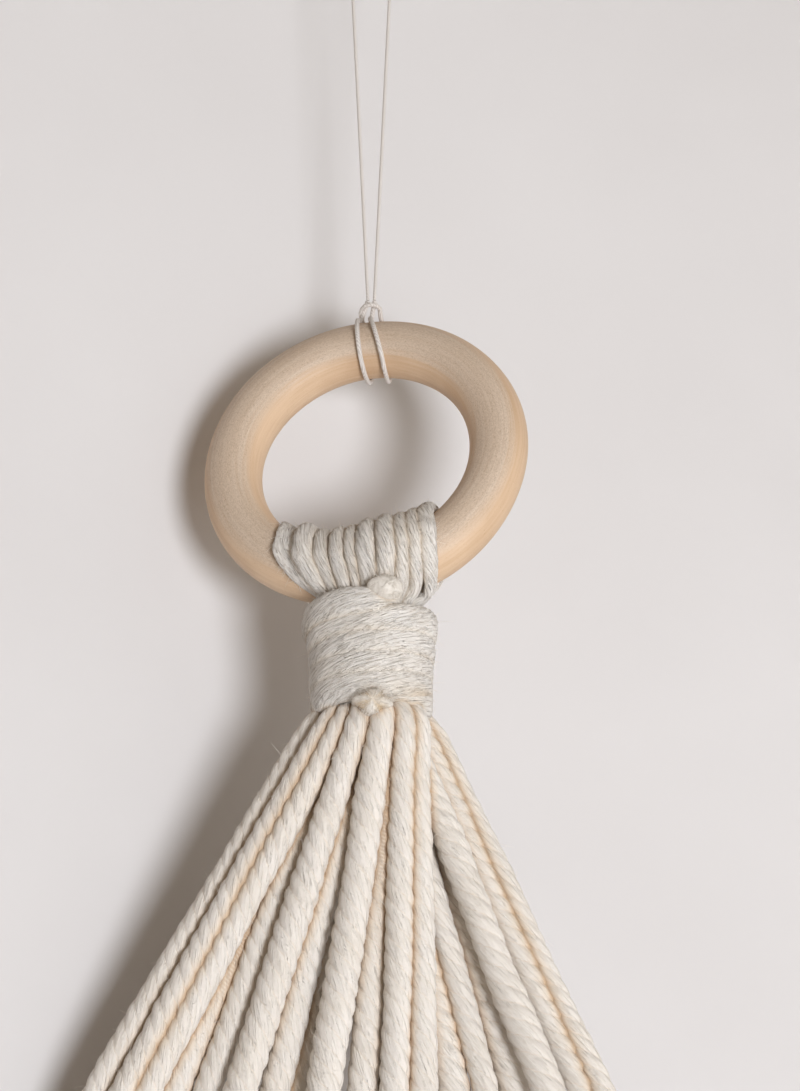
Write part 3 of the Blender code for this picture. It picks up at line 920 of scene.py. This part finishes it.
def make_ring(material):
    along = np.linspace(0, FULL_TURN, RING_STEPS, endpoint=False)
    around = np.linspace(0, FULL_TURN, RING_SIDES, endpoint=False)
    along, around = np.meshgrid(along, around, indexing="ij")
    reach = SECTION_RADIUS
    for wave in RING_WAVES:
        reach = reach + wave.height * np.sin(wave.along * along + wave.around * around + wave.start)
    outwards, forwards = reach * np.cos(around), reach * np.sin(around)
    distance = RING_RADIUS + outwards
    local = np.stack([distance * np.sin(along), -distance * np.cos(along), forwards], axis=-1)
    places = RING_CENTRE + local @ ring_axes().T
    index = np.arange(RING_STEPS * RING_SIDES).reshape(RING_STEPS, RING_SIDES)
    right = np.roll(index, -1, axis=0)
    up = np.roll(index, -1, axis=1)
    quads = np.stack([index, right, np.roll(right, -1, axis=1), up], axis=-1).reshape(-1, 4)
    mesh = bpy.data.meshes.new("turned_ring")
    mesh.from_pydata((places.reshape(-1, 3) * MM).tolist(), [], quads.tolist())
    mesh.update()
    mark_points(mesh, "lay", np.stack([along * RING_RADIUS, outwards, forwards], axis=-1))
    return placed_mesh(mesh, material)


def make_thread(material):
    curve = bpy.data.curves.new("thread", "CURVE")
    curve.dimensions = "3D"
    curve.bevel_depth = THREAD / 2
    curve.bevel_resolution = 3
    curve.use_fill_caps = True
    spline = curve.splines.new("POLY")
    spline.points.add(len(THREAD_ROUTE) - 1)
    for point, place in zip(spline.points, THREAD_ROUTE):
        point.co = (*place, 1.0)
    curve.materials.append(material)
    return placed("thread", curve)


class Nodes:
    """A short way to write a material's nodes."""

    def __init__(self, name):
        self.material = bpy.data.materials.new(name)
        self.material.use_nodes = True
        self.tree = self.material.node_tree
        self.shader = self.tree.nodes["Principled BSDF"]

    def add(self, kind, **values):
        node = self.tree.nodes.new(kind)
        for key, value in values.items():
            setattr(node, key, value)
        return node

    def link(self, source, target):
        self.tree.links.new(source, target)

    def mark(self, name, output="Fac"):
        """A value that is kept at the mesh's points."""
        return self.add("ShaderNodeAttribute", attribute_name=name).outputs[output]

    def place(self):
        return self.add("ShaderNodeTexCoord").outputs["Object"]

    def parts(self, vector):
        parts = self.add("ShaderNodeSeparateXYZ")
        self.link(vector, parts.inputs["Vector"])
        return parts.outputs

    def noise(self, vector, grain):
        mapping = self.add("ShaderNodeMapping")
        mapping.inputs["Scale"].default_value = grain.stretch
        noise = self.add("ShaderNodeTexNoise")
        noise.inputs["Scale"].default_value = grain.scale
        noise.inputs["Detail"].default_value = grain.detail
        noise.inputs["Roughness"].default_value = grain.roughness
        self.link(vector, mapping.inputs["Vector"])
        self.link(mapping.outputs["Vector"], noise.inputs["Vector"])
        return noise.outputs["Fac"]

    def math(self, operation, first, second=None):
        made = self.add("ShaderNodeMath", operation=operation)
        for socket, value in zip(made.inputs, (first, second)):
            if isinstance(value, (int, float)):
                socket.default_value = value
            elif value is not None:
                self.link(value, socket)
        return made.outputs["Value"]

    def grooves(self, lay, count, wobble):
        """1 on the crest of each yarn and 0 in the grooves between them."""
        parts = self.parts(lay)
        angle = self.math("ARCTAN2", parts["Y"], parts["X"])
        drifted = self.math("ADD", self.math("MULTIPLY", angle, count / 2), wobble)
        crests = self.math("ABSOLUTE", self.math("SINE", drifted))
        return self.math("POWER", crests, YARN_SHARPNESS)

    def ramp(self, factor, stops):
        ramp = self.add("ShaderNodeValToRGB")
        elements = ramp.color_ramp.elements
        while len(elements) < len(stops):
            elements.new(0.5)
        for element, (place, colour) in zip(elements, stops):
            element.position = place
            element.color = (*colour, 1.0)
        self.link(factor, ramp.inputs["Fac"])
        return ramp.outputs["Color"]

    def mix(self, factor, first, second, blend="MIX"):
        mix = self.add("ShaderNodeMix", data_type="RGBA", blend_type=blend)
        values = (factor, first, second)
        for socket, value in zip((mix.inputs[0], mix.inputs[6], mix.inputs[7]), values):
            if isinstance(value, (int, float)):
                socket.default_value = value
            else:
                self.link(value, socket)
        return mix.outputs[2]

    def tint(self, colour, factor, stops, share=1.0):
        """Multiplies a colour by a ramp's."""
        return self.mix(share, colour, self.ramp(factor, stops), "MULTIPLY")

    def bump(self, height, relief, normal=None):
        bump = self.add("ShaderNodeBump")
        bump.inputs["Distance"].default_value = relief.height
        bump.inputs["Strength"].default_value = relief.strength
        self.link(height, bump.inputs["Height"])
        if normal is not None:
            self.link(normal, bump.inputs["Normal"])
        return bump.outputs["Normal"]

    def finish(self, colour, normal=None, **values):
        """Gives the shader its colour and relief, and its own plain values."""
        self.link(colour, self.shader.inputs["Base Color"])
        if normal is not None:
            self.link(normal, self.shader.inputs["Normal"])
        for key, value in values.items():
            self.shader.inputs[key.replace("_", " ")].default_value = value
        return self.material


def fainter(relief, share):
    return Relief(relief.height, relief.strength * share)


def cotton_material(cotton):
    """Soft cotton: yarns and fibres along the lay, with painted shade, warmer and darker, in the
    grooves between yarns and plies and where cords meet.
    """
    nodes = Nodes(cotton.name)
    lay = nodes.mark("lay", "Vector")
    place = nodes.place()
    yarns = nodes.noise(lay, YARN_GRAIN)
    fibres = nodes.noise(lay, FIBRE_GRAIN)
    fine = nodes.noise(lay, FINE_GRAIN)
    nap = nodes.noise(place, NAP_GRAIN)
    ridges = nodes.grooves(lay, YARNS, nodes.math("MULTIPLY", yarns, YARN_WOBBLE))
    # Painted shade darkens the grooves between yarns; the fibres' noise adds their own uneven tone.
    streaks = nodes.math("ADD", nodes.math("MULTIPLY", ridges, YARN_GROOVE_SHADE), fibres)
    contact_shade_stops = zip(COTTON_CONTACT_SHADE, (WHITE, cotton.near, cotton.meet))
    colour = nodes.ramp(streaks, tuple(zip(COTTON_STREAKS, (cotton.deep, cotton.pale))))
    colour = nodes.tint(colour, nodes.noise(place, BLOTCH_GRAIN), COTTON_BLOTCHES)
    # Painted shade, warmer and darker, in the creases between plies and yarns.
    colour = nodes.tint(colour, nodes.mark("crease"), COTTON_CREASE_SHADE)
    # Painted shade where the cord meets another.
    colour = nodes.tint(colour, nodes.mark("contact_shade"), tuple(contact_shade_stops))
    normal = nodes.bump(ridges, fainter(RIDGE_RELIEF, cotton.depth))
    normal = nodes.bump(yarns, fainter(YARN_RELIEF, cotton.depth), normal)
    normal = nodes.bump(fibres, Relief(cotton.fuzz, FIBRE_STRENGTH), normal)
    normal = nodes.bump(fine, Relief(FINE_SHARE * cotton.fuzz, FINE_STRENGTH), normal)
    normal = nodes.bump(nap, Relief(cotton.nap, NAP_STRENGTH), normal)
    return nodes.finish(
        colour,
        normal,
        Roughness=0.95,
        Sheen_Weight=0.25,
        Sheen_Roughness=0.5,
        Specular_IOR_Level=0.2,
    )


def cut_material():
    """The felted fibre ends of a cut cord, with painted shade in the hollows between its lumps."""
    nodes = Nodes("cut_cotton")
    place = nodes.place()
    felt = nodes.noise(place, FELT_GRAIN)
    fine = nodes.noise(place, CUT_GRAIN)
    colour = nodes.tint(nodes.ramp(felt, FELT_TONES), nodes.mark("crease"), FELT_CREASE_SHADE)
    normal = nodes.bump(fine, CUT_RELIEF, nodes.bump(felt, FELT_RELIEF))
    return nodes.finish(colour, normal, Roughness=0.95, Specular_IOR_Level=0.2)


def hair_material():
    nodes = Nodes("loose_fibres")
    colour = nodes.ramp(nodes.noise(nodes.place(), HAIR_GRAIN), HAIR_TONES)
    return nodes.finish(colour, Roughness=0.8)


def wood_material():
    """Turned pale wood: lathe lines round the ring, pores, and a greyer band along the front."""
    nodes = Nodes("pale_wood")
    lay = nodes.mark("lay", "Vector")
    figure = nodes.noise(nodes.place(), FIGURE_GRAIN)
    lines = nodes.noise(lay, LATHE_GRAIN)
    pores = nodes.noise(lay, PORE_GRAIN)
    forwards = nodes.math("ADD", nodes.parts(lay)["Z"], nodes.math("MULTIPLY", lines, GREY_FRONT_SHIFT))
    front = nodes.add("ShaderNodeMapRange", interpolation_type="SMOOTHSTEP")
    nodes.link(forwards, front.inputs["Value"])
    front.inputs["From Min"].default_value = GREY_FRONT_FROM
    front.inputs["From Max"].default_value = GREY_FRONT_FULL
    grey_front = nodes.math("MULTIPLY", front.outputs["Result"], GREY_FRONT_SHARE)
    colour = nodes.mix(grey_front, nodes.ramp(figure, TAN_WOOD), nodes.ramp(pores, GREY_FRONT_WOOD))
    colour = nodes.tint(colour, lines, LATHE_LINES, LINES_SHARE)
    colour = nodes.tint(colour, pores, WOOD_PORES, PORES_SHARE)
    normal = nodes.bump(pores, PORE_RELIEF, nodes.bump(lines, LATHE_RELIEF))
    return nodes.finish(colour, normal, Roughness=0.5, Specular_IOR_Level=0.4)


def thread_material():
    """Thin twisted thread, with its twist as slanting bands."""
    nodes = Nodes("thread_cotton")
    wave = nodes.add("ShaderNodeTexWave", wave_type="BANDS", bands_direction="DIAGONAL")
    wave.inputs["Scale"].default_value = THREAD_BANDS
    wave.inputs["Distortion"].default_value = THREAD_WAVER
    nodes.link(nodes.place(), wave.inputs["Vector"])
    bands = wave.outputs["Fac"]
    return nodes.finish(
        nodes.ramp(bands, THREAD_TONES),
        nodes.bump(bands, THREAD_RELIEF),
        Roughness=0.85,
    )


def wall_material():
    """Pale paint that is seen from its front alone, so that a view from behind passes through."""
    nodes = Nodes("wall_paint")
    colour = nodes.ramp(nodes.noise(nodes.place(), PAINT_GRAIN), PAINT_TONES)
    behind = nodes.add("ShaderNodeNewGeometry").outputs["Backfacing"]
    clear = nodes.add("ShaderNodeBsdfTransparent")
    mix = nodes.add("ShaderNodeMixShader")
    nodes.link(behind, mix.inputs["Fac"])
    nodes.link(nodes.shader.outputs["BSDF"], mix.inputs[1])
    nodes.link(clear.outputs["BSDF"], mix.inputs[2])
    nodes.link(mix.outputs["Shader"], nodes.tree.nodes["Material Output"].inputs["Surface"])
    return nodes.finish(colour, Roughness=0.9)


def floor_material():
    nodes = Nodes("pale_floor")
    nodes.shader.inputs["Base Color"].default_value = (*FLOOR_COLOUR, 1.0)
    nodes.shader.inputs["Roughness"].default_value = 0.8
    return nodes.material


def make_camera():
    data = bpy.data.cameras.new("camera")
    data.sensor_fit = "VERTICAL"
    data.sensor_height = SENSOR_HEIGHT
    data.lens = SENSOR_HEIGHT * FOCAL_PIXELS / FRAME_HEIGHT
    camera = placed("camera", data)
    camera.location = Vector(CAMERA_PLACE) * MM
    camera.rotation_euler = (math.radians(90 + CAMERA_RISE), 0.0, 0.0)
    bpy.context.scene.camera = camera


def make_plane(name, size, location, rotation, material):
    bpy.ops.mesh.primitive_plane_add(size=size, location=location, rotation=rotation)
    plane = bpy.context.object
    plane.name = name
    plane.data.materials.append(material)


def make_stage():
    wall_middle = FLOOR_LEVEL + WALL_SIZE / 2
    upright = (math.radians(90), 0.0, math.radians(WALL_TURN))
    make_plane("wall", WALL_SIZE, (0.0, WALL_PLACE * MM, wall_middle), upright, wall_material())
    make_plane("floor", 2 * WALL_SIZE, (0.0, 0.0, FLOOR_LEVEL), (0.0, 0.0, 0.0), floor_material())


def make_light(light):
    target = Vector(RING_CENTRE * MM)
    away = Vector(light.aim).normalized()
    data = bpy.data.lights.new(light.name, "AREA")
    data.shape = "DISK"
    data.size = light.size
    data.energy = light.power
    data.color = light.colour
    made = placed(light.name, data)
    made.location = target + away * light.distance
    made.rotation_euler = (-away).to_track_quat("-Z", "Y").to_euler()


def make_lights():
    for light in LIGHTS:
        make_light(light)
    world = bpy.data.worlds.new("room")
    world.use_nodes = True
    background = world.node_tree.nodes["Background"]
    background.inputs["Color"].default_value = (*WORLD_COLOUR, 1.0)
    background.inputs["Strength"].default_value = WORLD_STRENGTH
    bpy.context.scene.world = world
    bpy.context.scene.view_settings.view_transform = "Standard"


def dress(piece, node):
    """Hands a finished piece to the frame, in place of a node."""
    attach(piece, "root")
    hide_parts(node)


def dress_thread():
    """The thread, made in place of the frame's. Its hitch stays as the frame has it, and looks the
    same.
    """
    material = thread_material()
    thread = make_thread(material)
    dress(thread, "hanging_thread")
    hitch = bpy.data.objects["thread_hitch"]
    hitch.data.materials.clear()
    hitch.data.materials.append(material)


def dress_fringe(groups, material):
    for number, group in enumerate(groups):
        dress(group.mesh(f"fringe_{number + 1}", material), "folded_cords")


def dress_stubs(ends, material):
    for stub, end in zip(STUBS, ends):
        dress(end.mesh(stub.name, material), "wrapping_cord")


def dress_fuzz(wrap, loops, groups, ends, material):
    tufts = [(wrap, KNOT_HAIRS), (loops, KNOT_HAIRS)]
    tufts += [(end, stub.hairs / (stub.outer - stub.inner)) for stub, end in zip(STUBS, ends)]
    fuzz = make_hairs("knot_fuzz", KNOT_FUZZ_SEED, tufts, material)
    dress(fuzz, "wrapping_cord")
    tufts = [(group, STRAND_HAIRS) for group in groups]
    fuzz = make_hairs("fringe_fuzz", FRINGE_FUZZ_SEED, tufts, material)
    dress(fuzz, "folded_cords")


def dress_cords():
    """All the cords are laid before one is made, so that each is marked where it meets another, for
    the painted shade there.
    """
    fringe_cotton = cotton_material(FRINGE_COTTON)
    knot_cotton = cotton_material(KNOT_COTTON)
    wrap = wound_cord()
    loops = folded_loops()
    firsts = range(0, len(STRANDS), STRANDS_A_PIECE)
    groups = [fringe(STRANDS[at:at + STRANDS_A_PIECE], CORD_SEED + at) for at in firsts]
    ends = [cut_end(stub) for stub in STUBS]
    mark_contact_shades([wrap, loops] + groups + ends)
    dress(wrap.mesh("wound_cord", knot_cotton), "wrapping_cord")
    dress(loops.mesh("folded_loops", knot_cotton), "folded_cords")
    dress_fringe(groups, fringe_cotton)
    dress_stubs(ends, cut_material())
    dress_fuzz(wrap, loops, groups, ends, hair_material())


for existing in list(bpy.data.objects):
    bpy.data.objects.remove(existing, do_unlink=True)
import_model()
make_camera()
dress_thread()
dress(make_ring(wood_material()), "wooden_ring")
dress_cords()
make_stage()
make_lights()
